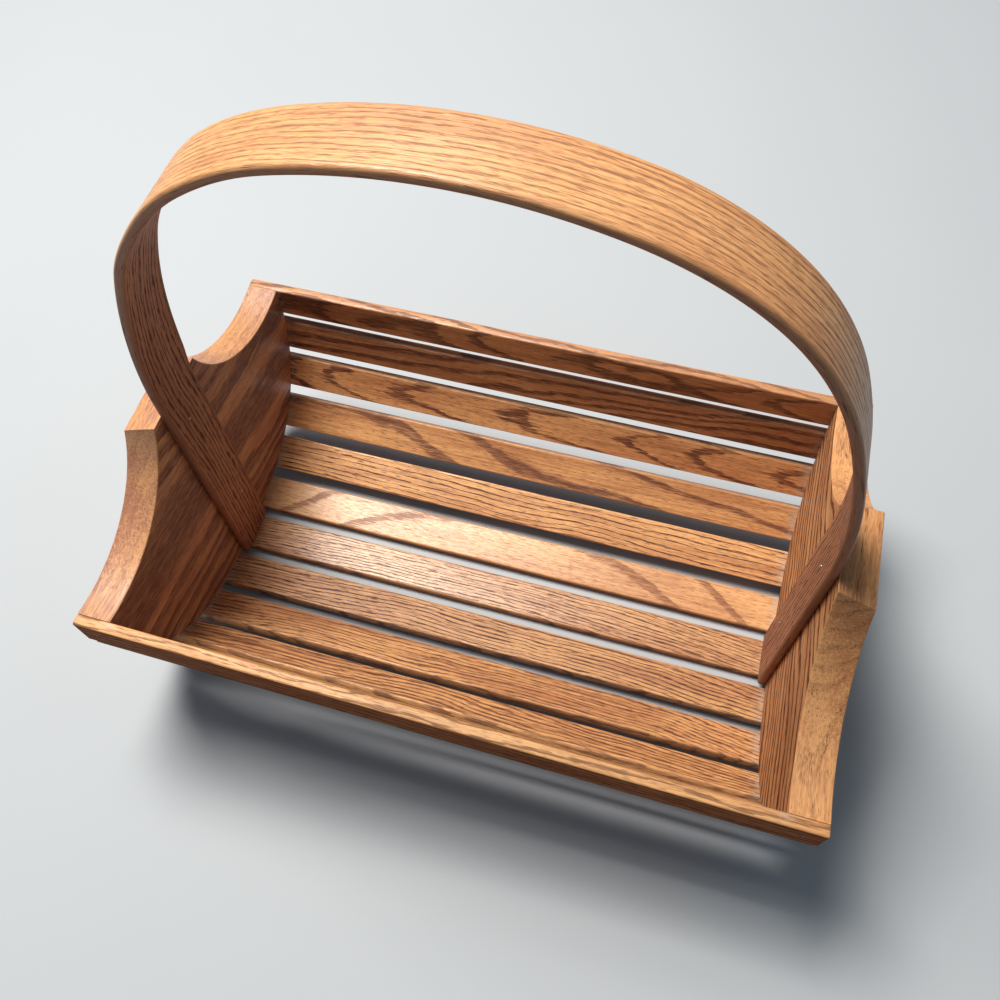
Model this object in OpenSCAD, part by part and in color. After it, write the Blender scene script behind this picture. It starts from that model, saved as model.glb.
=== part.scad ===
// Trug garden basket: two solid end boards, thirteen slats nailed round their
// lower curve, and one steam-bent bow handle. Millimetres, +Z up, rim along X.

/* [Basket] */
// Inside length between the two end boards
inner_l = 366; // [280:1:460]
// Inside width across the rim
inner_w = 240; // [190:1:290]
// Inside depth from the rim to the floor slat
inner_d = 124; // [100:1:160]
// Squareness of the lower curve: 2 is a plain ellipse, more is squarer
curve_n = 2.4; // [2:0.05:2.6]

/* [End boards] */
// Thickness of each end board
board_t = 20; // [14:0.5:26]
// Width of the raised block at its top
block_w = 50; // [40:1:66]
// Height of the block above the rim
block_h = 52.5; // [35:0.5:70]
// Fall of the block's top from the inner face to the outer face
block_fall = 6; // [0:0.5:8]
// Radius of the hollow cut on each side of the block
hollow_r = 80; // [65:1:140]

/* [Slats] */
// Width of each slat
slat_w = 24; // [16:0.5:26]
// Thickness of each slat
slat_t = 6.4; // [4:0.2:9]
// Rounding of the long edges of a slat
slat_edge_r = 1; // [0.4:0.1:1.8]

/* [Bow handle] */
// Width of the bent band
band_w = 32; // [22:1:38]
// Thickness of the bent band
band_t = 6.4; // [4.8:0.2:9]
// Rounding of the band's long edges
band_edge_r = 2.2; // [0.6:0.1:2.3]
// Height above the block where the straight legs begin to bend
leg_over = -0.8; // [-4:0.2:30]
// Shoulder radius of the bow, as a share of half the inside length
shoulder_share = 0.825; // [0.8:0.005:0.85]
// Radius of the flat top of the bow, as a share of half the inside length
top_share = 1.268; // [1.2:0.002:1.34]

/* [Brads] */
// Shank diameter of the brads
brad_d = 1.3; // [1:0.1:2]
// Head diameter of the brads
brad_head_d = 2.2; // [2:0.1:3.4]
// Head thickness of the brads
brad_head_t = 0.6; // [0.4:0.1:1.2]
// Length of a slat brad
brad_l = 22; // [16:1:28]
// Length of a handle brad
leg_brad_l = 18; // [12:1:24]
// Height of the upper handle brad above the rim
leg_brad_up = 33; // [24:1:42]
// Depth of the lower handle brad below the rim
leg_brad_down = 70; // [50:1:90]
// How far the handle brads stand to either side of the leg's middle
leg_brad_side = 4; // [0:0.5:8]

/* [View] */
// Node to draw

/* [Hidden] */
$fn = 48;
eps = 0.01;
over = 1;
half_l = inner_l / 2;
half_w = inner_w / 2;
out_l = inner_l + 2 * board_t;
cut_l = board_t + over;
// Underside of the floor slat stands at zero, so the rim is this high
rim_z = inner_d + slat_t;

// Lower curve of the end boards: a quarter of a rounded oval, walked by length
steps = 180;
function oval_y(a) = half_w * pow(sin(a), 2 / curve_n);
function oval_z(a) = -inner_d * pow(cos(a), 2 / curve_n);
function step_l(i) = norm([oval_y((i + 1) * 90 / steps) - oval_y(i * 90 / steps),
    oval_z((i + 1) * 90 / steps) - oval_z(i * 90 / steps)]);
run = [for (i = 0, s = 0; i <= steps; s = s + (i < steps ? step_l(i) : 0), i = i + 1) s];
half_run = run[steps];
y_by_run = [for (i = [0:steps]) [run[i], oval_y(i * 90 / steps)]];
z_by_run = [for (i = [0:steps]) [run[i], oval_z(i * 90 / steps)]];
function at_y(s) = s < 0 ? -lookup(-s, y_by_run) : lookup(s, y_by_run);
function at_z(s) = lookup(abs(s), z_by_run);

// Slats are spaced evenly from the floor slat (0) to the two rim slats (-6, 6)
last = 6;
gap_min = 2;
walk = 1;
slat_fit = min(slat_w, (half_run - last * gap_min) / (last + 0.5));
pitch = (half_run - slat_fit / 2) / last;
// Middle of slat k's inner face
function seat_y(k) = abs(k) == last ? sign(k) * half_w : at_y(k * pitch);
function seat_z(k) = abs(k) == last ? -slat_fit / 2 : at_z(k * pitch);
// Lean of slat k
function seat_a(k) = k == 0 ? 0 : abs(k) == last ? sign(k) * 90
    : atan2(at_z(k * pitch + walk) - at_z(k * pitch - walk),
        at_y(k * pitch + walk) - at_y(k * pitch - walk));
// The two ends of slat k's inner face
function seat_end(k, e) = [seat_y(k) + e * slat_fit / 2 * cos(seat_a(k)),
    seat_z(k) + e * slat_fit / 2 * sin(seat_a(k))];
seats = [for (k = [-last:last]) for (e = [-1, 1]) seat_end(k, e)];

// Centre of the hollow, from the block's top corner and the rim corner
hollow_from = [block_w / 2, block_h];
hollow_to = [half_w, 0];
chord = norm(hollow_to - hollow_from);
hollow_spare = 4;
hollow_fit = max(hollow_r, chord / 2 + hollow_spare);
rise = sqrt(hollow_fit * hollow_fit - chord * chord / 4);
hollow_c = (hollow_from + hollow_to) / 2
    + rise * [hollow_from[1] - hollow_to[1], hollow_to[0] - hollow_from[0]] / chord;

// Bow, outside face: vertical leg, slow bend, shoulder bend, flat top arc.
// The bends meet on two fixed lines whose slopes are whole fractions, so that
// every centre is a short decimal and neighbouring bends share one plane.
line_1 = [0.96, 0.28];
line_2 = [0.28, 0.96];
shoulder_r = round(shoulder_share * half_l);
top_r = round(top_share * half_l);
slow_r = 25 * (half_l - 0.68 * shoulder_r - 0.28 * top_r);
slow_c = [half_l - slow_r, rim_z + block_h + leg_over];
shoulder_c = slow_c + (slow_r - shoulder_r) * line_1;
top_c = shoulder_c + (shoulder_r - top_r) * line_2;

wood = [0.62, 0.38, 0.22];
wood_dark = [0.50, 0.29, 0.17];
steel = [0.72, 0.72, 0.70];

// Rectangle with rounded corners, centred
module soft_rect(w, t, r) {
    square([w - 2 * r, t], center = true);
    square([w, t - 2 * r], center = true);
    for (x = [-1, 1]) for (y = [-1, 1])
        translate([x * (w / 2 - r), y * (t / 2 - r)]) circle(r = r, $fn = 24);
}

// Moves a slat drawing (width along Y, inner face on z = 0) to seat k
module at_seat(k) {
    translate([0, seat_y(k), rim_z + seat_z(k)])
        rotate([seat_a(k), 0, 0]) children();
}

// Where the brads of a slat stand, at both ends
module slat_brad_places(k) {
    for (x = [-1, 1]) at_seat(k)
        translate([x * (half_l + board_t / 2), 0, -slat_t]) children();
}

// Brad lying along its axis, head underside countersunk flush with z = 0
module brad(l) {
    cylinder(d = brad_head_d, h = brad_head_t);
    translate([0, 0, brad_head_t - eps]) cylinder(d = brad_d, h = l - brad_head_t + eps, $fn = 24);
}

// Where the handle brads stand: two in each leg, driven from the inside
module leg_brad_places(x) {
    for (p = [[-leg_brad_side, leg_brad_up], [leg_brad_side, -leg_brad_down]])
        translate([x * (half_l - band_t), p[0], rim_z + p[1]])
            rotate([0, x * 90, 0]) children();
}

// Outline of an end board in the YZ plane, rim at y = 0
module board_outline() {
    difference() {
        union() {
            polygon(seats);
            translate([-half_w, -eps]) square([inner_w, block_h + eps]);
        }
        for (s = [-1, 1]) translate([s * hollow_c[0], hollow_c[1]])
            circle(r = hollow_fit, $fn = 180);
    }
}

// One solid end board; x is -1 at the left and 1 at the right
module end_board(x) {
    color(wood_dark) difference() {
        translate([x > 0 ? half_l : -half_l - board_t, 0, rim_z])
            rotate([90, 0, 90]) linear_extrude(height = board_t) board_outline();
        translate([x * half_l, 0, rim_z + block_h])
            rotate([90, 0, 0]) translate([0, 0, -block_w]) linear_extrude(height = 2 * block_w)
                polygon([[0, 0], [x * cut_l, -block_fall * cut_l / board_t],
                    [x * cut_l, over], [0, over]]);
        for (k = [-last:last]) slat_brad_places(k) brad(brad_l);
        leg_brad_places(x) brad(leg_brad_l);
    }
}

module left_end_board() {
    end_board(-1);
}

module right_end_board() {
    end_board(1);
}

// One bend of the band in the XZ plane, cut out of a ring between two lines
module bend(c, r, from, to) {
    intersection() {
        translate([c[0], 0, c[1]]) rotate([90, 0, 0]) rotate_extrude($fn = 240)
            translate([r - band_t / 2, 0]) rotate([0, 0, 90]) soft_rect(band_w, band_t, band_edge_r);
        translate([0, band_w, 0]) rotate([90, 0, 0]) linear_extrude(height = 2 * band_w)
            polygon([c, c + 1000 * from, c + 1000 * to]);
    }
}

// Leg, slow bend and shoulder bend on the right-hand side
module bow_side() {
    translate([half_l - band_t / 2, 0, slat_t]) linear_extrude(height = slow_c[1] - slat_t)
        rotate([0, 0, 90]) soft_rect(band_w, band_t, band_edge_r);
    bend(slow_c, slow_r, [1, 0], line_1);
    bend(shoulder_c, shoulder_r, line_1, line_2);
}

module bow_handle() {
    color(wood) difference() {
        union() {
            bend(top_c, top_r, line_2, [-line_2[0], line_2[1]]);
            bow_side();
            mirror([1, 0, 0]) bow_side();
        }
        for (x = [-1, 1]) leg_brad_places(x) brad(leg_brad_l);
    }
}

// One slat, counted from the floor slat
module slat(k) {
    color(wood) difference() {
        at_seat(k) translate([-out_l / 2, 0, -slat_t / 2]) rotate([90, 0, 90])
            linear_extrude(height = out_l) soft_rect(slat_fit, slat_t, slat_edge_r);
        slat_brad_places(k) brad(brad_l);
    }
}

module front_rim_slat() {
    slat(-6);
}

module back_rim_slat() {
    slat(6);
}

module slat_brads() {
    color(steel) for (k = [-last:last]) slat_brad_places(k) brad(brad_l);
}

module handle_brads() {
    color(steel) for (x = [-1, 1]) leg_brad_places(x) brad(leg_brad_l);
}

left_end_board();
right_end_board();
bow_handle();
front_rim_slat();
slat(-5);  // slat_02
slat(-4);  // slat_03
slat(-3);  // slat_04
slat(-2);  // slat_05
slat(-1);  // slat_06
slat(0);  // slat_07
slat(1);  // slat_08
slat(2);  // slat_09
slat(3);  // slat_10
slat(4);  // slat_11
slat(5);  // slat_12
back_rim_slat();
slat_brads();
handle_brads();
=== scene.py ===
"""Dresses the trug garden basket: oak slats, shaped end boards, a bent bow handle and brads.

Metres, +Z up, rim along X, the underside of the floor slat on z = 0.
"""
import logging
import math
from dataclasses import dataclass, field, replace
from enum import Enum

import bpy
import numpy as np
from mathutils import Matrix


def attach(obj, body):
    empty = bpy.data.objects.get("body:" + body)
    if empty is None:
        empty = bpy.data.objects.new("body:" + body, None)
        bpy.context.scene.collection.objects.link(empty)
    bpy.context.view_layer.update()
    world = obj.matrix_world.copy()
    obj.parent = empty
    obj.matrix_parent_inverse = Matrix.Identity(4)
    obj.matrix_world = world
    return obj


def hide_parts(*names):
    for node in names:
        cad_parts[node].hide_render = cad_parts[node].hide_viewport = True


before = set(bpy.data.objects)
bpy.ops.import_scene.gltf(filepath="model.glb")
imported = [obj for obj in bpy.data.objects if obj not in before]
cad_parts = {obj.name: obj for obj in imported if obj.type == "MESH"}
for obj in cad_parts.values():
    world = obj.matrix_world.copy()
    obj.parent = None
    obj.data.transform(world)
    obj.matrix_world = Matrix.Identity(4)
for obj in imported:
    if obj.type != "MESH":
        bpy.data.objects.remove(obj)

LOG = logging.getLogger("trug")
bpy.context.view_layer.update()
MM = 0.001


# sizes

@dataclass(frozen=True)
class Sizes:
    """The basket's driving sizes, in millimetres, as the part's source has them.

    Only the band differs: here it has the width, thickness and place across
    the basket that its edges in the photograph ask for.
    """

    inner_l: float = 366.0
    inner_w: float = 240.0
    inner_d: float = 124.0
    curve_n: float = 2.4
    board_t: float = 20.0
    block_w: float = 50.0
    block_h: float = 52.5
    block_fall: float = 6.0
    hollow_r: float = 80.0
    slat_w: float = 24.0
    slat_t: float = 6.4
    band_w: float = 34.4
    band_t: float = 5.3
    band_y: float = -0.6
    band_edge_r: float = 2.0
    brad_head_d: float = 2.2

    @property
    def half_l(self) -> float:
        """Half the inside length."""
        return self.inner_l / 2

    @property
    def half_w(self) -> float:
        """Half the inside width."""
        return self.inner_w / 2

    @property
    def out_l(self) -> float:
        """Length over both end boards."""
        return self.inner_l + 2 * self.board_t

    @property
    def rim_z(self) -> float:
        """Height of the rim above the table."""
        return self.inner_d + self.slat_t


SIZES = Sizes()


@dataclass(frozen=True)
class Seat:
    """Where a slat sits on the end boards' lower edge, in the YZ plane.

    y and z are the middle of the slat's inner face, lean is its turn about X.
    """

    y: float
    z: float
    lean: float


def slat_seats(s: Sizes) -> dict[int, Seat]:
    """Spaces thirteen slats evenly round the boards' lower curve.

    The curve is a rounded oval, (y/a)^n + (z/b)^n = 1. It is walked by
    length from the floor slat (0) to the rim slats (-6 and 6), whose faces
    stand upright with their top edges at the rim.

    Args:
        s: The basket's sizes.

    Returns:
        Slat number to its seat.
    """
    last = 6
    a = np.radians(np.arange(181) * 0.5)
    y = s.half_w * np.sin(a) ** (2 / s.curve_n)
    z = -s.inner_d * np.clip(np.cos(a), 0, 1) ** (2 / s.curve_n)
    run = np.concatenate([[0.0], np.cumsum(np.hypot(np.diff(y), np.diff(z)))])
    pitch = (run[-1] - s.slat_w / 2) / last

    def at(d: float) -> np.ndarray:
        """Point of the curve at a signed run from the floor."""
        return np.array([math.copysign(1, d) * np.interp(abs(d), run, y), np.interp(abs(d), run, z)])

    seats = {}
    for k in range(-last, last + 1):
        if abs(k) == last:
            side = math.copysign(1, k)
            seats[k] = Seat(side * s.half_w, s.rim_z - s.slat_w / 2, side * math.pi / 2)
            continue
        p, step = at(k * pitch), at(k * pitch + 1) - at(k * pitch - 1)
        lean = 0.0 if k == 0 else math.atan2(step[1], step[0])
        seats[k] = Seat(float(p[0]), float(s.rim_z + p[1]), lean)
    return seats


# mesh helpers

def smooth_wave(x: np.ndarray, seed: int, length: float) -> np.ndarray:
    """Slow random wave: a sum of three sines of unrelated lengths, about -1 to 1.

    Args:
        x: Where to read it, in millimetres.
        seed: Picks the phases.
        length: Its longest wave, in millimetres.

    Returns:
        The wave's height at each x.
    """
    rng = np.random.default_rng(seed)
    phase = rng.uniform(0, 2 * math.pi, 3)
    parts = [np.sin(2 * math.pi * x * m / length + p) / m for m, p in zip((1.0, 2.3, 4.1), phase)]
    return sum(parts) / 1.4


def band_quads(rows: int, cols: int, closed: bool = True) -> np.ndarray:
    """Faces of a grid of rows by cols points, closed round its columns.

    Args:
        rows: Points along the grid.
        cols: Points round it.
        closed: Whether the last column joins the first.

    Returns:
        An array of four point numbers per face.
    """
    i, j = np.meshgrid(np.arange(rows - 1), np.arange(cols if closed else cols - 1), indexing="ij")
    a = i * cols + j
    b = i * cols + (j + 1) % cols
    return np.stack([a, b, b + cols, a + cols], axis=-1).reshape(-1, 4)


def make_piece(name: str, points: np.ndarray, faces: list, marks: dict[str, np.ndarray],
               sharp_deg: float = 38.0) -> bpy.types.Object:
    """Makes a mesh object at the origin from points in millimetres.

    Args:
        name: The object's name.
        points: N by 3, in millimetres.
        faces: Lists of point numbers.
        marks: Attribute name to one value, or one vector, per point.
        sharp_deg: Edges that turn by more than this stay sharp.

    Returns:
        The linked object.
    """
    mesh = bpy.data.meshes.new(name)
    mesh.from_pydata((points * MM).tolist(), [], [list(map(int, f)) for f in faces])
    mesh.update()
    for key, values in marks.items():
        vector = values.ndim == 2
        layer = mesh.attributes.new(key, "FLOAT_VECTOR" if vector else "FLOAT", "POINT")
        layer.data.foreach_set("vector" if vector else "value", values.astype(np.float32).ravel())
    mesh.polygons.foreach_set("use_smooth", np.ones(len(mesh.polygons), dtype=bool))
    mesh.set_sharp_from_angle(angle=math.radians(sharp_deg))
    piece = bpy.data.objects.new(name, mesh)
    bpy.context.scene.collection.objects.link(piece)
    return piece


def soft_rectangle(w: float, t: float, r: float, flat: np.ndarray, turns: int = 5) -> tuple:
    """Outline of a rounded rectangle, counter-clockwise seen along +X.

    Each corner is a quarter circle of `turns` points, and the two long flats
    carry the extra points `flat`, given from -1 to 1 across the flat.

    Args:
        w: Width, along the first axis.
        t: Thickness, along the second axis.
        r: Corner radius.
        flat: Extra points across the long flats.
        turns: Points on each corner.

    Returns:
        Points (N by 2), and 1 for each corner point or 0.
    """
    out, edge = [], []
    fw = w / 2 - r
    for side, start in ((-1, 180), (1, 0)):
        corner_a = np.radians(np.linspace(start, start + 90, turns))
        corner_b = np.radians(np.linspace(start + 90, start + 180, turns))
        ca = np.stack([side * fw + r * np.cos(corner_a), side * (t / 2 - r) + r * np.sin(corner_a)], 1)
        run = np.stack([-side * flat * fw, np.full(len(flat), side * t / 2)], 1)
        cb = np.stack([-side * fw + r * np.cos(corner_b), side * (t / 2 - r) + r * np.sin(corner_b)], 1)
        out += [ca, run, cb]
        edge += [np.ones(turns), np.zeros(len(flat)), np.ones(turns)]
    pts, marks = np.concatenate(out), np.concatenate(edge)
    return pts, marks


# node helpers

class Tree:
    """A material's nodes, with short calls for the ones that wood needs."""

    def __init__(self, name: str) -> None:
        """Starts a material with one Principled shader.

        Args:
            name: The material's name.
        """
        self.material = bpy.data.materials.new(name)
        self.material.use_nodes = True
        self.nodes = self.material.node_tree.nodes
        self.links = self.material.node_tree.links
        self.shader = self.nodes["Principled BSDF"]

    def put(self, socket: bpy.types.NodeSocket, value: object) -> None:
        """Links a socket, or sets its value."""
        if isinstance(value, bpy.types.NodeSocket):
            self.links.new(value, socket)
        else:
            socket.default_value = value

    def math(self, kind: str, a: object, b: object = 0.0, c: object = 0.0, clamp: bool = False) -> object:
        """Math node of up to three inputs; returns its value."""
        node = self.nodes.new("ShaderNodeMath")
        node.operation, node.use_clamp = kind, clamp
        for socket, value in zip(node.inputs, (a, b, c)):
            self.put(socket, value)
        return node.outputs[0]

    def vector(self, kind: str, a: object, b: object) -> object:
        """Vector Math node; returns its vector."""
        node = self.nodes.new("ShaderNodeVectorMath")
        node.operation = kind
        self.put(node.inputs[0], a)
        self.put(node.inputs[1], b)
        return node.outputs["Vector"]

    def split(self, v: object) -> tuple:
        """The three parts of a vector."""
        node = self.nodes.new("ShaderNodeSeparateXYZ")
        self.put(node.inputs[0], v)
        return tuple(node.outputs)

    def join(self, x: object, y: object, z: object) -> object:
        """A vector from its three parts."""
        node = self.nodes.new("ShaderNodeCombineXYZ")
        for socket, value in zip(node.inputs, (x, y, z)):
            self.put(socket, value)
        return node.outputs[0]

    def noise(self, at: object, stretch: tuple, detail: float = 2.0, rough: float = 0.5) -> object:
        """Noise of 0 to 1, with cells 1/stretch metres long on each axis."""
        node = self.nodes.new("ShaderNodeTexNoise")
        self.put(node.inputs["Vector"], self.vector("MULTIPLY", at, stretch))
        node.inputs["Scale"].default_value = 1.0
        node.inputs["Detail"].default_value = detail
        node.inputs["Roughness"].default_value = rough
        return node.outputs["Fac"]

    def span(self, value: object, low: float, high: float, to_low: float = 0.0, to_high: float = 1.0) -> object:
        """Maps low..high to to_low..to_high, smoothly and clamped."""
        node = self.nodes.new("ShaderNodeMapRange")
        node.interpolation_type = "SMOOTHSTEP"
        for socket, v in zip(node.inputs, (value, low, high, to_low, to_high)):
            self.put(socket, v)
        return node.outputs[0]

    def mix(self, amount: object, a: object, b: object, kind: str = "MIX") -> object:
        """Mixes two colours."""
        node = self.nodes.new("ShaderNodeMix")
        node.data_type, node.blend_type = "RGBA", kind
        node.clamp_factor = True
        self.put(node.inputs[0], amount)
        for socket, value in ((node.inputs[6], a), (node.inputs[7], b)):
            self.put(socket, value if isinstance(value, bpy.types.NodeSocket) else (*value[:3], 1.0))
        return node.outputs[2]

    def ramp(self, value: object, stops: list) -> object:
        """Value ramp through (place, height) stops."""
        node = self.nodes.new("ShaderNodeValToRGB")
        ramp = node.color_ramp
        ramp.interpolation = "EASE"
        while len(ramp.elements) < len(stops):
            ramp.elements.new(0.5)
        for element, (place, height) in zip(ramp.elements, stops):
            element.position = place
            element.color = (height, height, height, 1.0)
        self.put(node.inputs[0], value)
        return node.outputs[0]

    def mark(self, name: str) -> object:
        """A number stored on the mesh's points."""
        node = self.nodes.new("ShaderNodeAttribute")
        node.attribute_type, node.attribute_name = "GEOMETRY", name
        return node.outputs["Fac"]

    def mark_vector(self, name: str) -> object:
        """A vector stored on the mesh's points."""
        node = self.nodes.new("ShaderNodeAttribute")
        node.attribute_type, node.attribute_name = "GEOMETRY", name
        return node.outputs["Vector"]


# finishes

class Cut(Enum):
    """How the strip was sawn: (across, below) place of the pith and its drift along the grain."""

    ARCHED = ((0.001, -0.023), (0.0, -0.075))
    SIDE_ARCHED = ((-0.010, -0.022), (0.012, -0.045))
    FALLING = ((0.200, -0.020), (0.200, 0.0))
    RISING = ((0.200, -0.020), (-0.085, 0.0))
    STRAIGHT = ((0.090, -0.012), (0.010, 0.0))
    RIFT = ((0.080, -0.080), (0.006, 0.0))
    FLAT = ((-0.030, -0.090), (0.030, 0.020))


@dataclass(frozen=True)
class OakFinish:
    """Stained and varnished red oak.

    gold, mid, stain and pore are the late wood, the stained wood, the soaked
    early wood and the open pores, and shade a factor on the colour of the
    faces under the dark mark, which paints shade on them. faint is how much weaker the figure is on the other
    faces, and dull the share of the sheen that these painted-shade faces lose. ring is the spacing of the growth rings
    in metres, early the share of each ring that is early wood, soft how slowly it
    fades, bold how dark it is, lines the pores' strength, streak that of the
    long brown streaks, rag how ragged the rings' edges are and wobble how far
    they wander, both in metres, bend how they arch along the grain, tone a
    factor on the colour, red its warmth, and seed the place in the log.
    """

    cut: Cut = Cut.STRAIGHT
    seed: float = 0.0
    ring: float = 0.0035
    early: float = 0.22
    soft: float = 0.20
    bold: float = 0.75
    lines: float = 0.8
    streak: float = 0.35
    rag: float = 0.0016
    bend: float = 0.0
    wobble: float = 0.0030
    tone: float = 1.0
    red: float = 0.0
    gloss: float = 0.36
    coat: float = 0.20
    sheen: float = 0.45
    turn: float = 0.0
    shift: tuple = (0.0, 0.0)
    gold: tuple = (0.700, 0.372, 0.148)
    mid: tuple = (0.510, 0.228, 0.086)
    stain: tuple = (0.205, 0.070, 0.034)
    pore: tuple = (0.080, 0.025, 0.012)
    shade: tuple = (0.58, 0.45, 0.46)
    faint: float = 0.0
    dull: float = 0.95

    def rings(self, t: Tree, at: object) -> tuple:
        """Growth rings: circles round a pith that drifts and wanders along the grain.

        The distance from the pith over the ring spacing, made uneven and
        ragged by noise, is the phase; its first part is early wood.

        Args:
            t: The material's nodes.
            at: The place in the wood: along, across and below the face.

        Returns:
            The early wood's share and the phase.
        """
        (pith_across, pith_deep), (climb_across, climb_deep) = self.cut.value
        along, across, deep = t.split(at)
        local = t.math("SUBTRACT", along, self.seed)
        slow = t.math("SUBTRACT", t.noise(at, (6.0, 12.0, 12.0), 1.0), 0.5)
        quick = t.math("SUBTRACT", t.noise(t.vector("ADD", at, (3.1, 1.7, 0.4)), (19.0, 40.0, 40.0), 2.0), 0.5)
        wander = t.math("ADD", t.math("MULTIPLY", slow, self.wobble * 5.0), t.math("MULTIPLY", quick, self.wobble * 1.6))
        off_a = t.math("ADD", t.math("SUBTRACT", across, pith_across), t.math("MULTIPLY", local, climb_across))
        off_a = t.math("ADD", off_a, t.math("MULTIPLY", t.math("MULTIPLY", local, local), self.bend))
        off_d = t.math("ADD", t.math("SUBTRACT", deep, pith_deep), t.math("MULTIPLY", local, climb_deep))
        reach = t.math("SQRT", t.math("ADD", t.math("MULTIPLY", off_a, off_a), t.math("MULTIPLY", off_d, off_d)))
        reach = t.math("ADD", reach, wander)
        uneven = t.noise(t.join(0.0, self.seed, reach), (1.0, 1.0, 0.42 / self.ring), 2.0)
        rag = t.math("SUBTRACT", t.noise(at, (62.0, 820.0, 820.0), 1.0), 0.5)
        tear = t.math("SUBTRACT", t.noise(t.vector("ADD", at, (0.3, 2.7, 1.1)), (24.0, 240.0, 240.0), 1.0), 0.5)
        phase = t.math("ADD", t.math("MULTIPLY", reach, 1.0 / self.ring),
                       t.math("ADD", t.math("MULTIPLY", uneven, 1.6),
                              t.math("MULTIPLY", t.math("ADD", rag, tear), self.rag / self.ring)))
        early = t.ramp(t.math("FRACT", phase), [(0.0, 0.10), (0.05, 1.0), (self.early, 0.85),
                                                (min(self.early + self.soft, 0.9), 0.08), (0.96, 0.0), (1.0, 0.10)])
        return early, phase

    def build(self, name: str, dusty: bool = False) -> bpy.types.Material:
        """Builds the material on the mesh's stored `grain` vector.

        The vector runs along the grain, across the face and out of the wood.

        Args:
            name: The material's name.
            dusty: Whether the mesh's `dust` mark shows.

        Returns:
            The material.
        """
        t = Tree(name)
        mapping = t.nodes.new("ShaderNodeMapping")
        mapping.inputs["Location"].default_value = (self.seed, self.shift[0], self.shift[1])
        mapping.inputs["Rotation"].default_value = (0.0, 0.0, self.turn)
        t.put(mapping.inputs["Vector"], t.mark_vector("grain"))
        at = mapping.outputs[0]
        early, _ = self.rings(t, at)
        # short dark pores, crowded in the early wood, and fine fibres everywhere
        wall = t.mark("wall")
        dash = t.noise(at, (95.0, 1500.0, 1500.0), 1.0)
        thin = t.noise(t.vector("ADD", at, (0.7, 0.3, 0.9)), (170.0, 1900.0, 1900.0), 1.0)
        long = t.noise(t.vector("ADD", at, (2.6, 0.8, 1.4)), (14.0, 430.0, 430.0), 3.0, 0.6)
        fibre = t.noise(t.vector("ADD", at, (1.7, 2.3, 0.2)), (32.0, 760.0, 760.0), 2.0)
        fade = t.span(t.noise(t.vector("ADD", at, (0.2, 1.1, 3.3)), (26.0, 240.0, 240.0), 1.0), 0.36, 0.60, 0.35, 1.0)
        limit = t.math("SUBTRACT", t.math("MULTIPLY_ADD", wall, -0.01, 0.66),
                       t.math("MULTIPLY", early, t.math("MULTIPLY_ADD", wall, -0.16, 0.24)))
        pores = t.math("MULTIPLY", t.math("SUBTRACT", dash, limit), 11.0, clamp=True)
        pores = t.math("MULTIPLY", pores, t.math("SUBTRACT", 1.0, t.math("MULTIPLY", wall, t.math("SUBTRACT", 1.0, fade))))
        pricks = t.math("MULTIPLY", t.math("SUBTRACT", thin, t.math("SUBTRACT", 0.54, t.math("MULTIPLY", early, 0.10))), 7.0, clamp=True)
        patch = t.noise(at, (8.0, 48.0, 48.0), 2.0)
        body = t.mix(t.span(t.math("ADD", t.math("MULTIPLY", patch, 0.5), t.math("MULTIPLY", fibre, 0.5)), 0.38, 0.62), self.gold, self.mid)
        dark = t.mark("dark")
        press = t.math("MULTIPLY_ADD", dark, self.faint, 1.0 - self.faint)
        soaked = t.math("MULTIPLY", t.math("MULTIPLY", early, fade), t.math("MULTIPLY_ADD", wall, -0.92 * self.bold, self.bold))
        soaked = t.math("MULTIPLY", soaked, press)
        body = t.mix(t.math("MULTIPLY", t.span(long, 0.50, 0.64), t.math("MULTIPLY_ADD", wall, -0.85 * self.streak, self.streak)),
                     body, self.stain)
        body = t.mix(soaked, body, self.stain)
        rays = t.noise(t.vector("ADD", at, (4.4, 0.6, 1.9)), (500.0, 900.0, 60.0), 1.0)
        body = t.mix(t.math("MULTIPLY", t.span(rays, 0.52, 0.66), t.math("MULTIPLY", t.mark("end"), 0.20)), body, self.gold)
        body = t.mix(t.math("MULTIPLY", pricks, t.math("MULTIPLY_ADD", wall, -0.30, 0.62)), body, self.stain)
        strength = t.math("MULTIPLY", press, t.math("MULTIPLY_ADD", wall, -0.30 * self.lines, self.lines))
        body = t.mix(t.math("MULTIPLY", pores, strength), body, self.pore)
        # arrises lightened toward gold: part wear, part painted highlight
        body = t.mix(t.math("MULTIPLY", t.mark("edge"), 0.22), body, self.gold)
        if dusty:
            haze = t.math("MULTIPLY", t.mark("dust"), t.span(t.noise(at, (330.0, 420.0, 420.0), 3.0), 0.35, 0.62))
            body = t.mix(t.math("MULTIPLY", haze, 0.68), body, (0.42, 0.36, 0.30))
        # painted shade toward the pore colour: in the dishes round the brads and along the bow's side edges
        body = t.mix(t.math("MULTIPLY", t.mark("painted_deep_shade"), 0.8), body, self.pore)
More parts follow.
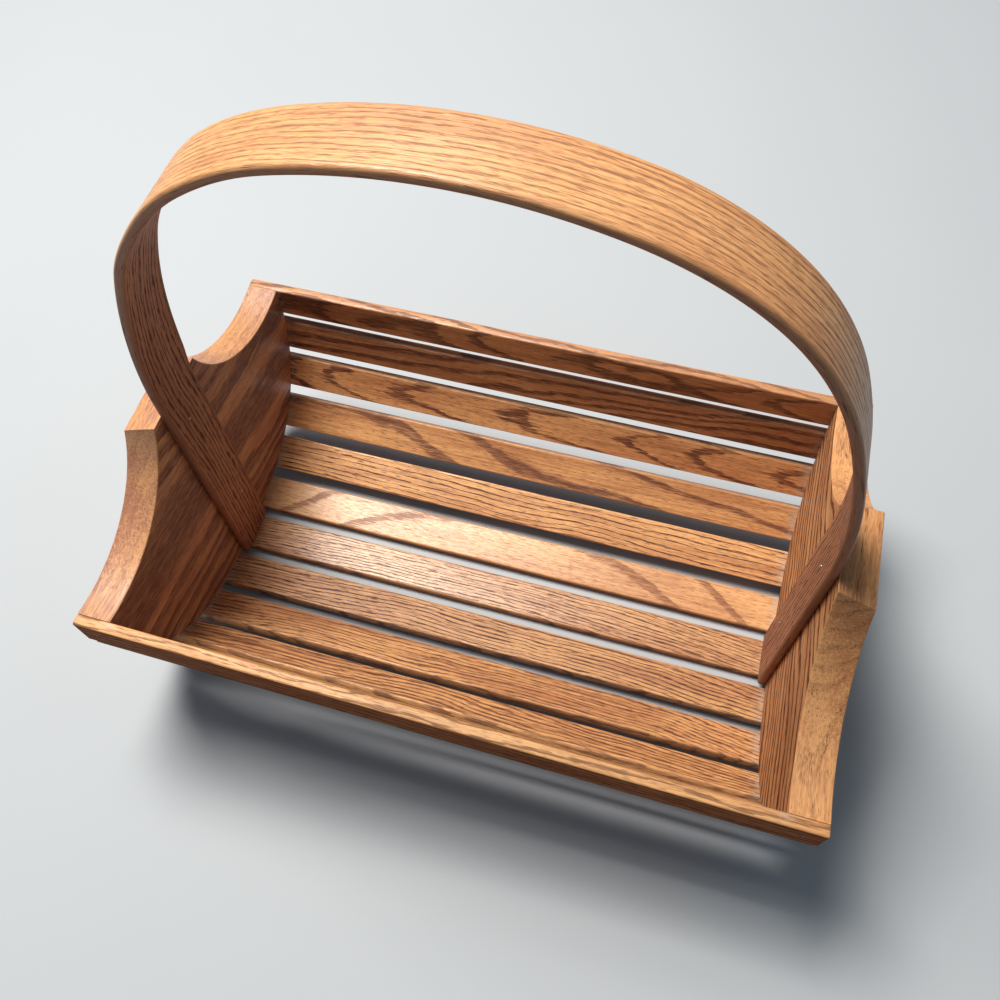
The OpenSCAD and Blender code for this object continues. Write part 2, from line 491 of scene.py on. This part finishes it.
        # painted shade: the faces under the dark mark take the shade factor on their colour
        body = t.mix(dark, body, t.mix(1.0, body, self.shade, "MULTIPLY"))
        tone = (self.tone, self.tone * (1.0 - 0.14 * self.red), self.tone * (1.0 - 0.08 * self.red))
        t.put(t.shader.inputs["Base Color"], t.mix(1.0, body, tone, "MULTIPLY"))
        rough = t.math("ADD", self.gloss, t.math("ADD", t.math("MULTIPLY", pores, 0.25),
                                                t.math("MULTIPLY", t.math("SUBTRACT", patch, 0.5), 0.16)))
        t.put(t.shader.inputs["Roughness"], t.math("MULTIPLY_ADD", dark, 0.14, rough))
        t.put(t.shader.inputs["Coat Weight"], t.math("MULTIPLY_ADD", dark, -0.9 * self.coat, self.coat))
        t.put(t.shader.inputs["Specular IOR Level"], t.math("MULTIPLY_ADD", dark, -self.dull * self.sheen, self.sheen))
        t.shader.inputs["Coat Roughness"].default_value = 0.27
        bump = t.nodes.new("ShaderNodeBump")
        bump.inputs["Strength"].default_value = 0.6
        bump.inputs["Distance"].default_value = 0.0003
        sunk = t.math("ADD", t.math("MULTIPLY", pores, 0.8), t.math("ADD", t.math("MULTIPLY", pricks, 0.25), t.math("MULTIPLY", early, 0.2)))
        t.put(bump.inputs["Height"], t.math("SUBTRACT", 1.0, sunk))
        t.put(t.shader.inputs["Normal"], bump.outputs[0])
        return t.material


@dataclass(frozen=True)
class SteelFinish:
    """Dull brad steel with a brown film of varnish."""

    colour: tuple = (0.52, 0.49, 0.46)

    def build(self, name: str) -> bpy.types.Material:
        """Builds the material, brushed by small noise.

        Args:
            name: The material's name.

        Returns:
            The material.
        """
        t = Tree(name)
        coords = t.nodes.new("ShaderNodeTexCoord").outputs["Object"]
        spots = t.noise(coords, (900.0, 900.0, 900.0), 3.0)
        t.put(t.shader.inputs["Base Color"], t.mix(t.span(spots, 0.3, 0.7), self.colour, (0.16, 0.10, 0.06)))
        t.put(t.shader.inputs["Roughness"], t.span(spots, 0.2, 0.8, 0.35, 0.6))
        t.shader.inputs["Metallic"].default_value = 0.9
        return t.material


# pieces

def nail_dish(u: np.ndarray, v: np.ndarray, places: list, radius: float, depth: float) -> np.ndarray:
    """Depth of the small dishes over brad heads: flat-bottomed, with a soft rim.

    Args:
        u: Place along the piece.
        v: Place across it.
        places: (u, v) of each brad.
        radius: Radius of the dish.
        depth: Its depth.

    Returns:
        The depth at each point.
    """
    total = np.zeros(np.broadcast(u, v).shape)
    for pu, pv in places:
        r = np.hypot(u - pu, v - pv) / radius
        ease = np.clip((1.25 - r) / 0.35, 0, 1)
        total = np.maximum(total, depth * ease * ease * (3 - 2 * ease))
    return total


@dataclass
class Slat:
    """One strip, laid along X on its seat."""

    name: str
    number: int
    seat: Seat
    finish: OakFinish
    sizes: Sizes = SIZES
    edge_r: float = 1.0
    end_r: float = 0.6

    def stations(self) -> np.ndarray:
        """Places along the slat, close together at its ends and over its brads."""
        s = self.sizes
        half = s.out_l / 2
        nail = s.half_l + s.board_t / 2
        end = half - self.end_r * (1 - np.sin(np.linspace(0, math.pi / 2, 5)))
        near = nail + np.linspace(-2.4, 2.4, 17)
        plain = np.linspace(0, nail - 3.2, 34)
        joint = s.half_l - np.array([8.0, 5.0, 3.0, 2.0, 1.2, 0.6, 0.0, -0.6])
        side = np.unique(np.round(np.concatenate([plain, near, joint, [half - 4.0, half - 2.0], end]), 3))
        return np.concatenate([-side[:0:-1], side])

    def build(self) -> bpy.types.Object:
        """Builds the strip.

        A rounded rectangle is carried along X. Its corner radius wanders a
        little, as sanding leaves it, and at the ends the outline shrinks on a
        quarter circle. The outer face has a dish over each brad.

        Returns:
            The finished piece.
        """
        s = self.sizes
        x = self.stations()
        dense = np.linspace(-2.6, 2.6, 17) / (s.slat_w / 2 - self.edge_r)
        flat = np.unique(np.round(np.concatenate([np.linspace(-0.94, 0.94, 9), dense]), 4))
        outline, corner = soft_rectangle(s.slat_w, s.slat_t, self.edge_r, flat)
        inward = np.clip(s.out_l / 2 - np.abs(x), 0, self.end_r)
        shrink = self.end_r - np.sqrt(np.clip(self.end_r ** 2 - (self.end_r - inward) ** 2, 0, None))
        wear = 0.10 * smooth_wave(x, 40 + self.number, 130.0) - 0.05
        w = outline[None, :, 0] * (1 - shrink[:, None] / (s.slat_w / 2))
        d = outline[None, :, 1] * (1 - shrink[:, None] / (s.slat_t / 2))
        w = w + np.sign(w) * wear[:, None] * corner[None, :] * 0.5
        nail = s.half_l + s.board_t / 2
        dish = nail_dish(x[:, None], w, [(-nail, 0.0), (nail, 0.0)], s.brad_head_d / 2, 0.35)
        d = np.where(d < -s.slat_t / 2 + 0.05, d + dish, d)
        along = np.broadcast_to(x[:, None], w.shape)
        local = np.stack([along, w, d], -1).reshape(-1, 3)
        cos, sin = math.cos(self.seat.lean), math.sin(self.seat.lean)
        below = local[:, 2] - s.slat_t / 2
        points = np.stack([local[:, 0], self.seat.y + local[:, 1] * cos - below * sin,
                           self.seat.z + local[:, 1] * sin + below * cos], -1)
        rows, cols = w.shape
        faces = band_quads(rows, cols)[:, ::-1].tolist()
        faces.append(list(range(cols)))
        faces.append(list(range((rows - 1) * cols, rows * cols))[::-1])
        inside = s.half_l - np.abs(local[:, 0])
        dust = np.clip(1 - np.abs(inside - 0.6) / 7.0, 0, 1) ** 1.5 * (local[:, 2] > 0)
        end = (np.abs(local[:, 0]) > s.out_l / 2 - 0.3).astype(float)
        # painted shade in the dish round each brad on the outer face
        painted_deep_shade = dish * (d < 0) / 0.35
        marks = {"grain": local * MM, "edge": np.tile(corner, rows), "dust": dust, "end": end, "wall": end,
                 "painted_deep_shade": painted_deep_shade.ravel()}
        # painted shade: on the rim slats the outer face, on the other slats a ramp darkening toward the outer face
        if abs(self.number) == 6:
            marks["dark"] = np.clip((0.3 - s.slat_t / 2 - local[:, 2]) / 0.3, 0, 1)
        else:
            marks["dark"] = np.clip(0.5 - local[:, 2] / s.slat_t, 0, 1)
        piece = make_piece(self.name, points, faces, marks)
        piece.data.materials.append(self.finish.build(f"oak_{self.name}", True))
        return piece


@dataclass
class BowHandle:
    """The steam-bent band: two straight legs, two bends a side and a flat top."""

    finish: OakFinish
    name: str = "bent_bow"
    sizes: Sizes = SIZES
    brads: tuple = ((-4.0, 33.0), (4.0, -70.0))
    right_r: float = 147.0
    left_r: float = 136.0
    top_r: float = 240.0
    top_x: float = -3.0
    knee: float = 49.0
    near_edge: tuple = ((1, 0.0), (5, 0.6), (18, 0.6), (36, -0.9), (54, -0.3), (72, 0.4), (90, 0.0), (112, -0.3), (135, 0.5),
                        (160, 0.0))
    far_edge: tuple = ((1, 0.0), (5, -1.6), (18, -0.2), (36, -1.6), (54, 0.2), (72, -0.2), (90, 0.0), (112, 0.4), (135, 0.7),
                       (160, 0.0))

    def side(self, hand: int) -> tuple:
        """The outside face of one half of the bow, from its foot to the top.

        It is a straight leg, then three arcs that meet where their normals
        slope 0.352 in 0.936 and 0.96 in 0.28. The slow arc's radius closes
        the half on the top arc's centre, 3 mm left of the middle.

        Args:
            hand: 1 for the right half, -1 for the left.

        Returns:
            Points and outward normals, N by 2 each, in the XZ plane.
        """
        s = self.sizes
        shoulder_r = self.right_r if hand > 0 else self.left_r
        slow_r = (s.half_l - hand * self.top_x - 0.656 * shoulder_r - 0.28 * self.top_r) / 0.064
        foot, knee = s.slat_t, s.rim_z + self.knee
        slow_c = np.array([s.half_l - slow_r, knee])
        shoulder_c = slow_c + (slow_r - shoulder_r) * np.array([0.936, 0.352])
        top_c = shoulder_c + (shoulder_r - self.top_r) * np.array([0.28, 0.96])
        one, two = math.atan2(0.352, 0.936), math.atan2(0.96, 0.28)
        nails = np.concatenate([s.rim_z + z + np.linspace(-2.4, 2.4, 13) for _, z in self.brads])
        toe = foot + 0.5 * (1 - np.cos(np.linspace(0, math.pi / 2, 5)))
        leg = np.unique(np.round(np.concatenate([toe, np.linspace(foot + 2, knee, 44)[:-1], nails]), 3))
        points = [np.stack([np.full(len(leg), s.half_l), leg], 1)]
        normals = [np.tile([1.0, 0.0], (len(leg), 1))]
        for centre, r, start, end, n in ((slow_c, slow_r, 0.0, one, 30), (shoulder_c, shoulder_r, one, two, 42),
                                         (top_c, self.top_r, two, math.pi / 2, 18)):
            angle = np.linspace(start, end, n)[1 if start else 0:]
            ray = np.stack([np.cos(angle), np.sin(angle)], 1)
            points.append(centre + r * ray)
            normals.append(ray)
        return np.concatenate(points) * [hand, 1], np.concatenate(normals) * [hand, 1]

    def path(self) -> tuple:
        """The whole outside line, from the right foot over the top to the left foot.

        Returns:
            Points (N by 2), outward normals (N by 2) and the run to each point.
        """
        (p_right, n_right), (p_left, n_left) = self.side(1), self.side(-1)
        p = np.concatenate([p_right, p_left[-2::-1]])
        n = np.concatenate([n_right, n_left[-2::-1]])
        run = np.concatenate([[0.0], np.cumsum(np.linalg.norm(np.diff(p, axis=0), axis=1))])
        return p, n, run

    def stand_off(self, normals: np.ndarray, knots: tuple) -> np.ndarray:
        """How far one edge of the band stands off the even curve.

        Bending by hand left both edges a little uneven. The knots are pairs
        of an angle, 0 at the left leg, 90 at the top and 180 at the right
        leg, and an outward distance, joined by smooth steps.

        Args:
            normals: Outward normals of the path, N by 2.
            knots: The edge's knots.

        Returns:
            The distance at each point, in millimetres.
        """
        angle = np.degrees(np.arctan2(normals[:, 1], -normals[:, 0]))
        at, off = np.array(knots, dtype=float).T
        step = np.clip(np.searchsorted(at, angle) - 1, 0, len(at) - 2)
        share = np.clip((angle - at[step]) / (at[step + 1] - at[step]), 0, 1)
        return off[step] + (off[step + 1] - off[step]) * share * share * (3 - 2 * share)

    def build(self) -> bpy.types.Object:
        """Carries a rounded band along the path, with a dish over each brad on the legs' inner faces.

        Returns:
            The finished piece.
        """
        s = self.sizes
        p, n, run = self.path()
        fw = s.band_w / 2 - s.band_edge_r
        dense = np.concatenate([(c - s.band_y + np.linspace(-2.4, 2.4, 13)) / fw for c, _ in self.brads])
        flat = np.unique(np.round(np.concatenate([np.linspace(-0.95, 0.95, 11), dense]), 4))
        outline, corner = soft_rectangle(s.band_w, s.band_t, s.band_edge_r, flat, 7)
        foot = np.clip(p[:, 1] - s.slat_t, 0, 0.5)
        shrink = (0.5 - np.sqrt(np.clip(0.25 - (0.5 - foot) ** 2, 0, None))) * 0.8
        w = outline[None, :, 0] * (1 - shrink[:, None] / (s.band_w / 2))
        d = outline[None, :, 1] * (1 - shrink[:, None] / (s.band_t / 2))
        wear = 0.12 * smooth_wave(run, 7, 240.0)
        w = w + np.sign(w) * wear[:, None] * 0.6
        places = [(s.rim_z + z, y - s.band_y) for y, z in self.brads]
        dish = nail_dish(p[:, None, 1], w, places, s.brad_head_d / 2, 0.35)
        d = np.where(d < -s.band_t / 2 + 0.05, d + dish, d)
        share = 0.5 + w / s.band_w
        near, far = self.stand_off(n, self.near_edge), self.stand_off(n, self.far_edge)
        depth = d - s.band_t / 2 + near[:, None] * (1 - share) + far[:, None] * share
        x = p[:, None, 0] + n[:, None, 0] * depth
        z = p[:, None, 1] + n[:, None, 1] * depth
        points = np.stack([x, w + s.band_y, z], -1).reshape(-1, 3)
        rows, cols = x.shape
        faces = band_quads(rows, cols).tolist()
        faces.append(list(range(cols))[::-1])
        faces.append(list(range((rows - 1) * cols, rows * cols)))
        grain = np.stack([np.broadcast_to(run[:, None], x.shape), w, d], -1).reshape(-1, 3)
        none = np.zeros(rows * cols)
        # painted shade: the legs' inner face and side edges go dark, and at the top a ramp through the thickness, less
        # where the normal points up; the side edges also get painted shade toward the pore colour
        lit = np.clip(np.repeat(n[:, 1], cols), 0, 1)
        dark = 0.95 * np.clip((s.band_t / 2 - 0.3 * lit - grain[:, 2]) / (0.3 + 2.3 * lit), 0, 1)
        marks = {"grain": grain * MM, "edge": none, "end": none, "wall": np.tile(corner, rows),
                 "painted_deep_shade": np.maximum(dish.ravel() / 0.35, 0.45 * (1 - 0.6 * lit) * np.tile(corner, rows)), "dark": dark}
        piece = make_piece(self.name, points, faces, marks)
        piece.data.materials.append(self.finish.build("oak_bow"))
        return piece


@dataclass
class EndBoard:
    """One solid end board; side is -1 at the left and 1 at the right."""

    name: str
    side: int
    finish: OakFinish
    seats: dict[int, Seat]
    sizes: Sizes = SIZES
    arris: float = 0.7

    def outline(self, deep: np.ndarray) -> np.ndarray:
        """Outline in the YZ plane at each depth into the board.

        Below it follows the slats' seats. Above, each hollow is an arc from
        the rim corner up to the block, and the block's top falls outwards, so
        the arc ends lower on the outer face.

        Args:
            deep: Depths from the inner face, 0 to the board's thickness.

        Returns:
            Depths by points by 2.
        """
        s = self.sizes
        low = []
        for k in sorted(self.seats):
            seat = self.seats[k]
            run = np.array([math.cos(seat.lean), math.sin(seat.lean)])
            mid = np.array([seat.y, seat.z])
            low += [mid + e * s.slat_w / 2 * run for e in (-1.0, -0.33, 0.33, 1.0)]
        low = np.array(low)
        a, b = np.array([s.block_w / 2, s.rim_z + s.block_h]), np.array([s.half_w, s.rim_z])
        chord = np.linalg.norm(b - a)
        rise = math.sqrt(s.hollow_r ** 2 - chord ** 2 / 4)
        c = (a + b) / 2 + rise * np.array([a[1] - b[1], b[0] - a[0]]) / chord
        start = math.atan2(b[1] - c[1], b[0] - c[0])
        rows = []
        for d in np.atleast_1d(deep):
            top = s.rim_z + s.block_h - s.block_fall * d / s.board_t
            end = -math.pi - math.asin((top - c[1]) / s.hollow_r)
            ang = np.linspace(start, end, 56)
            arc = c + s.hollow_r * np.stack([np.cos(ang), np.sin(ang)], 1)
            cap = np.linspace(arc[-1], arc[-1] * [-1, 1], 13)[1:-1]
            rows.append(np.concatenate([low, arc[1:], cap, arc[:0:-1] * [-1, 1]]))
        return np.array(rows)

    def build(self) -> bpy.types.Object:
        """Carries the outline through the board, rounding both arrises.

        Near each face the outline is drawn in along its own normals on a
        quarter circle, then the flat faces close it.

        Returns:
            The finished piece.
        """
        s = self.sizes
        turn = np.linspace(0, math.pi / 2, 5)
        r = self.arris
        deep = np.concatenate([r - r * np.sin(turn[::-1]), np.linspace(r, s.board_t - r, 7)[1:-1], s.board_t - r + r * np.sin(turn)])
        inset = np.concatenate([r - r * np.cos(turn[::-1]), np.zeros(5), r - r * np.cos(turn)])
        deep = np.concatenate([[0.0], deep, [s.board_t]])
        inset = np.concatenate([[r + 1.2], inset, [r + 1.2]])
        loops = self.outline(deep)
        ahead = np.roll(loops, -1, axis=1) - loops
        ahead /= np.maximum(np.linalg.norm(ahead, axis=2, keepdims=True), 1e-9)
        behind = np.roll(ahead, 1, axis=1)
        tangent = ahead + behind
        tangent /= np.maximum(np.linalg.norm(tangent, axis=2, keepdims=True), 1e-9)
        normal = np.stack([tangent[..., 1], -tangent[..., 0]], -1)
        spread = np.clip((tangent * ahead).sum(2, keepdims=True), 0.45, 1)
        loops = loops - normal * inset[:, None, None] / spread
        rows, cols = loops.shape[:2]
        x = self.side * (s.half_l + deep[:, None]) * np.ones((1, cols))
        points = np.stack([x, loops[..., 0], loops[..., 1]], -1).reshape(-1, 3)
        quads = band_quads(rows, cols)
        caps = [list(range(cols)), list(range((rows - 1) * cols, rows * cols))[::-1]]
        if self.side > 0:
            faces = quads.tolist() + [c[::-1] for c in caps]
        else:
            faces = quads[:, ::-1].tolist() + caps
        edge = ((inset > 0.01) & (inset <= r)).astype(float)
        wall = np.broadcast_to((inset < r).astype(float)[:, None], (rows, cols))
        end = np.abs(normal[..., 0]) * wall
        grain = np.stack([points[:, 1], points[:, 2] - s.rim_z, self.side * points[:, 0] - s.half_l], -1)
        marks = {"grain": grain * MM, "edge": np.repeat(edge, cols), "end": end.ravel(),
                 "wall": wall.ravel()}
        piece = make_piece(self.name, points, faces, marks)
        piece.data.materials.append(self.finish.build(f"oak_{self.name}"))
        return piece


@dataclass
class BradHeads:
    """Round brad heads on one mesh; proud is how far they stand out of the wood."""

    name: str
    places: list
    proud: float = -0.22
    finish: SteelFinish = field(default_factory=SteelFinish)
    sizes: Sizes = SIZES

    def build(self) -> bpy.types.Object:
        """Builds one low dome with a short shank for each place.

        The dome is a circle of 20 points on rings at falling heights, and each
        place gives its centre and the outward direction.

        Returns:
            The finished piece.
        """
        r = self.sizes.brad_head_d / 2
        radii = np.array([0.0, 0.35, 0.7, 0.92, 1.0, 1.0]) * r
        height = np.array([0.0, -0.01, -0.05, -0.11, -0.2, -1.2]) + self.proud
        ang = np.linspace(0, 2 * math.pi, 20, endpoint=False)
        ring = np.stack([np.outer(radii[1:], np.cos(ang)), np.outer(radii[1:], np.sin(ang)),
                         np.repeat(height[1:, None], 20, 1)], -1).reshape(-1, 3)
        one = np.concatenate([[[0, 0, height[0]]], ring])
        fan = [[0, 1 + i, 1 + (i + 1) % 20] for i in range(20)]
        band = (band_quads(5, 20) + 1)[:, ::-1].tolist()
        bottom = list(range(1 + 80, 1 + 100))
        faces_one = fan + band + [bottom[::-1]]
        points, faces = [], []
        for i, (centre, out) in enumerate(self.places):
            out = np.array(out) / np.linalg.norm(out)
            helper = np.array([0.0, 0.0, 1.0]) if abs(out[2]) < 0.9 else np.array([1.0, 0.0, 0.0])
            u = np.cross(helper, out)
            u /= np.linalg.norm(u)
            v = np.cross(out, u)
            points.append(np.array(centre) + one[:, :1] * u + one[:, 1:2] * v + one[:, 2:] * out)
            faces += [[n + i * len(one) for n in f] for f in faces_one]
        piece = make_piece(self.name, np.concatenate(points), faces, {}, 50.0)
        piece.data.materials.append(self.finish.build(f"steel_{self.name}"))
        return piece


# studio

@dataclass
class Studio:
    """Floor, lamps and the camera at the photograph's viewing angle."""

    lens: float = 34.92
    shift: tuple = (0.0176, -0.0647)
    place: tuple = (0.08762, -0.23660, 0.62834)
    right: tuple = (0.95965394, 0.27735258, -0.04625855)
    down: tuple = (0.21466599, -0.82890918, -0.51655405)
    ahead: tuple = (-0.18161173, 0.48578299, -0.85500413)

    def camera(self) -> None:
        """Puts the camera where the photograph was taken."""
        from mathutils import Matrix, Vector
        data = bpy.data.cameras.new("camera")
        data.sensor_width, data.lens = 36.0, self.lens
        data.shift_x, data.shift_y = self.shift
        data.clip_start = 0.01
        obj = bpy.data.objects.new("camera", data)
        bpy.context.scene.collection.objects.link(obj)
        turn = Matrix((self.right, [-v for v in self.down], [-v for v in self.ahead])).transposed()
        obj.matrix_world = Matrix.Translation(Vector(self.place)) @ turn.to_4x4()
        bpy.context.scene.camera = obj

    def floor(self) -> None:
        """Lays a pale plain floor."""
        mesh = bpy.data.meshes.new("floor")
        size = 6.0
        mesh.from_pydata([(-size, -size, 0), (size, -size, 0), (size, size, 0), (-size, size, 0)], [], [(0, 1, 2, 3)])
        obj = bpy.data.objects.new("floor", mesh)
        bpy.context.scene.collection.objects.link(obj)
        t = Tree("floor_pale")
        coords = t.nodes.new("ShaderNodeTexCoord").outputs["Object"]
        cloud = t.noise(coords, (3.0, 3.0, 3.0), 3.0)
        t.put(t.shader.inputs["Base Color"], t.mix(cloud, (0.46, 0.48, 0.50), (0.50, 0.52, 0.54)))
        t.shader.inputs["Roughness"].default_value = 0.8
        mesh.materials.append(t.material)

    def lamp(self, name: str, place: tuple, aim: tuple, size: float, watts: float, colour: tuple) -> None:
        """Adds one soft square lamp.

        Args:
            name: The lamp's name.
            place: Where it hangs.
            aim: What it points at.
            size: Its side.
            watts: Its power.
            colour: Its colour.
        """
        from mathutils import Vector
        data = bpy.data.lights.new(name, "AREA")
        data.shape, data.size = "SQUARE", size
        data.energy, data.color = watts, colour
        obj = bpy.data.objects.new(name, data)
        bpy.context.scene.collection.objects.link(obj)
        obj.location = place
        obj.rotation_euler = (Vector(aim) - Vector(place)).to_track_quat("-Z", "Y").to_euler()

    def world(self) -> None:
        """Soft even light from all round."""
        world = bpy.data.worlds.new("studio")
        bpy.context.scene.world = world
        world.use_nodes = True
        sky = world.node_tree.nodes["Background"]
        sky.inputs["Color"].default_value = (0.66, 0.84, 1.0, 1.0)
        sky.inputs["Strength"].default_value = 0.20
        bpy.context.scene.view_settings.view_transform = "Standard"

    def build(self) -> None:
        """Sets up the whole studio."""
        self.camera()
        self.world()
        self.floor()
        self.lamp("window", (-0.66, 0.42, 1.90), (0.0, 0.0, 0.1), 0.8, 57.0, (1.0, 0.965, 0.91))
        self.lamp("gleam", (-0.35, 0.68, 1.95), (0.0, 0.0, 0.1), 0.4, 5.0, (1.0, 0.99, 0.97))


# the basket

@dataclass
class Trug:
    """The whole basket."""

    sizes: Sizes = SIZES
    seats: dict[int, Seat] = field(default_factory=lambda: slat_seats(SIZES))

    def node_name(self, k: int) -> str:
        """The CAD node of slat k."""
        if abs(k) == 6:
            return "back_rim_slat" if k > 0 else "front_rim_slat"
        return f"slat_{k + 7:02d}"

    def slat_finish(self, k: int) -> OakFinish:
        """Finish of slat k: each strip was sawn from another place in the log."""
        fine = {"cut": Cut.STRAIGHT, "soft": 0.12, "rag": 0.0008, "lines": 1.0}
        return {
            6: OakFinish(Cut.ARCHED, 1.3, ring=0.0052, early=0.30, bold=0.90, wobble=0.005, tone=0.90, red=0.8),
            5: OakFinish(Cut.RISING, 2.1, ring=0.0080, early=0.34, bold=0.85, wobble=0.008, tone=0.90, red=0.8),
            4: OakFinish(Cut.ARCHED, 3.7, ring=0.0043, early=0.22, soft=0.10, bold=0.95, wobble=0.002, tone=1.36, red=0.3),
            3: OakFinish(Cut.FALLING, 4.9, ring=0.0240, early=0.20, soft=0.08, bold=0.80, lines=0.6, wobble=0.008,
                         tone=1.15, red=0.2),
            2: OakFinish(seed=5.2, ring=0.0037, early=0.18, bold=1.0, tone=1.18, **fine),
            1: OakFinish(Cut.STRAIGHT, 6.6, ring=0.0310, early=0.18, soft=0.09, bold=0.55, lines=0.4, streak=0.15, rag=0.003,
                         bend=2.2, wobble=0.003, tone=1.06, shift=(0.006, 0.0), stain=(0.250, 0.074, 0.032)),
            0: OakFinish(seed=7.4, ring=0.0023, early=0.22, bold=0.85, bend=0.35, tone=1.0, **fine),
            -1: OakFinish(seed=8.8, ring=0.0027, early=0.24, bold=0.95, bend=0.25, wobble=0.004, tone=1.04, **fine),
            -2: OakFinish(Cut.STRAIGHT, 9.1, ring=0.0029, early=0.24, soft=0.14, bold=0.95, streak=0.5, bend=0.5,
                          wobble=0.005, tone=1.18, red=0.2),
            -3: OakFinish(Cut.STRAIGHT, 10.3, ring=0.0033, early=0.34, bold=0.80, streak=0.7, bend=0.3, wobble=0.005,
                          tone=1.32, red=0.1),
            -4: OakFinish(Cut.STRAIGHT, 11.9, ring=0.0046, early=0.18, bold=0.70, tone=1.1, red=0.1),
            -5: OakFinish(Cut.SIDE_ARCHED, 12.4, ring=0.0050, early=0.18, bold=0.70, tone=1.1, red=0.2),
            -6: OakFinish(Cut.RIFT, 13.6, ring=0.0034, early=0.20, soft=0.12, bold=0.90, tone=1.16,
                          gloss=0.46, coat=0.04, sheen=0.30),
        }[k]

    def finish_piece(self, piece: bpy.types.Object, slot: str, *nodes: str) -> None:
        """Rides a piece on the basket and lets it stand for its CAD nodes.

        Args:
            piece: The new piece.
            slot: The record's material slot; not used.
            *nodes: The CAD nodes that it replaces.
        """
        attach(piece, "root")
        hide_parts(*nodes)
        LOG.info("%s stands for %s", piece.name, ", ".join(nodes))

    def slats(self) -> None:
        """Builds the thirteen slats."""
        for k, seat in self.seats.items():
            node = self.node_name(k)
            # shade here is the colour of the painted shade on the slats' outer faces
            finish = replace(self.slat_finish(k), shade=(0.44, 0.30, 0.28))
            piece = Slat(f"strip_{k + 7:02d}", k, seat, finish).build()
            self.finish_piece(piece, "slat_wood", node)

    def boards(self) -> None:
        """Builds the two end boards."""
        # painted shade: the left board's mid and stain are bluer, for the cool cast of the shade it stands in
        painted_shade_oak = OakFinish(Cut.FLAT, 21.0, ring=0.0068, early=0.36, soft=0.3, bold=0.62, lines=0.45, wobble=0.004,
                           tone=0.92, red=0.6, gloss=0.48, coat=0.08, sheen=0.45, turn=math.radians(8),
                           mid=(0.450, 0.208, 0.115), stain=(0.185, 0.080, 0.062))
        left = EndBoard("end_board_left", -1, painted_shade_oak, self.seats)
        self.finish_piece(left.build(), "end_board_wood", "left_end_board")
        striped = OakFinish(Cut.STRAIGHT, 23.5, ring=0.0085, early=0.30, soft=0.10, bold=1.0, lines=0.9, rag=0.0014,
                            wobble=0.009, tone=1.06, red=0.5, gloss=0.54, coat=0.0, sheen=0.22, turn=math.radians(4),
                            stain=(0.120, 0.040, 0.020))
        right = EndBoard("end_board_right", 1, striped, self.seats)
        self.finish_piece(right.build(), "end_board_wood", "right_end_board")

    def bow(self) -> None:
        """Builds the bow handle."""
        # shade is the colour factor of the bow's painted shade on its inner face and side edges
        look = OakFinish(Cut.RIFT, 31.0, ring=0.0021, early=0.28, soft=0.16, bold=0.62, lines=1.0, streak=0.12, rag=0.0009,
                         wobble=0.002, tone=1.07, gloss=0.44, coat=0.10, sheen=0.45, faint=0.58,
                         dull=0.0, gold=(0.710, 0.368, 0.150), mid=(0.555, 0.248, 0.098), stain=(0.250, 0.088, 0.044),
                         pore=(0.105, 0.036, 0.021), shade=(0.56, 0.44, 0.50))
        self.finish_piece(BowHandle(look).build(), "handle_wood", "bow_handle")

    def brads(self) -> None:
        """Builds the brad heads of the slats and of the handle's legs."""
        s = self.sizes
        nail = s.half_l + s.board_t / 2
        outer = []
        for seat in self.seats.values():
            out = np.array([0.0, math.sin(seat.lean), -math.cos(seat.lean)])
            centre = np.array([0.0, seat.y, seat.z]) + out * s.slat_t
            outer += [(centre + [x, 0, 0], out) for x in (-nail, nail)]
        self.finish_piece(BradHeads("slat_brad_heads", outer).build(), "brad_steel", "slat_brads")
        legs = [((x * (s.half_l - s.band_t), y, s.rim_z + z), (-x, 0.0, 0.0))
                for x in (-1, 1) for y, z in BowHandle.brads]
        self.finish_piece(BradHeads("leg_brad_heads", legs, 0.40).build(), "brad_steel", "handle_brads")

    def build(self) -> None:
        """Builds every sub-assembly in order."""
        self.boards()
        self.slats()
        self.bow()
        self.brads()


def main() -> None:
    """Builds the studio and the basket."""
    logging.basicConfig(level=logging.INFO)
    Studio().build()
    Trug().build()


if __name__ == "__main__":
    main()
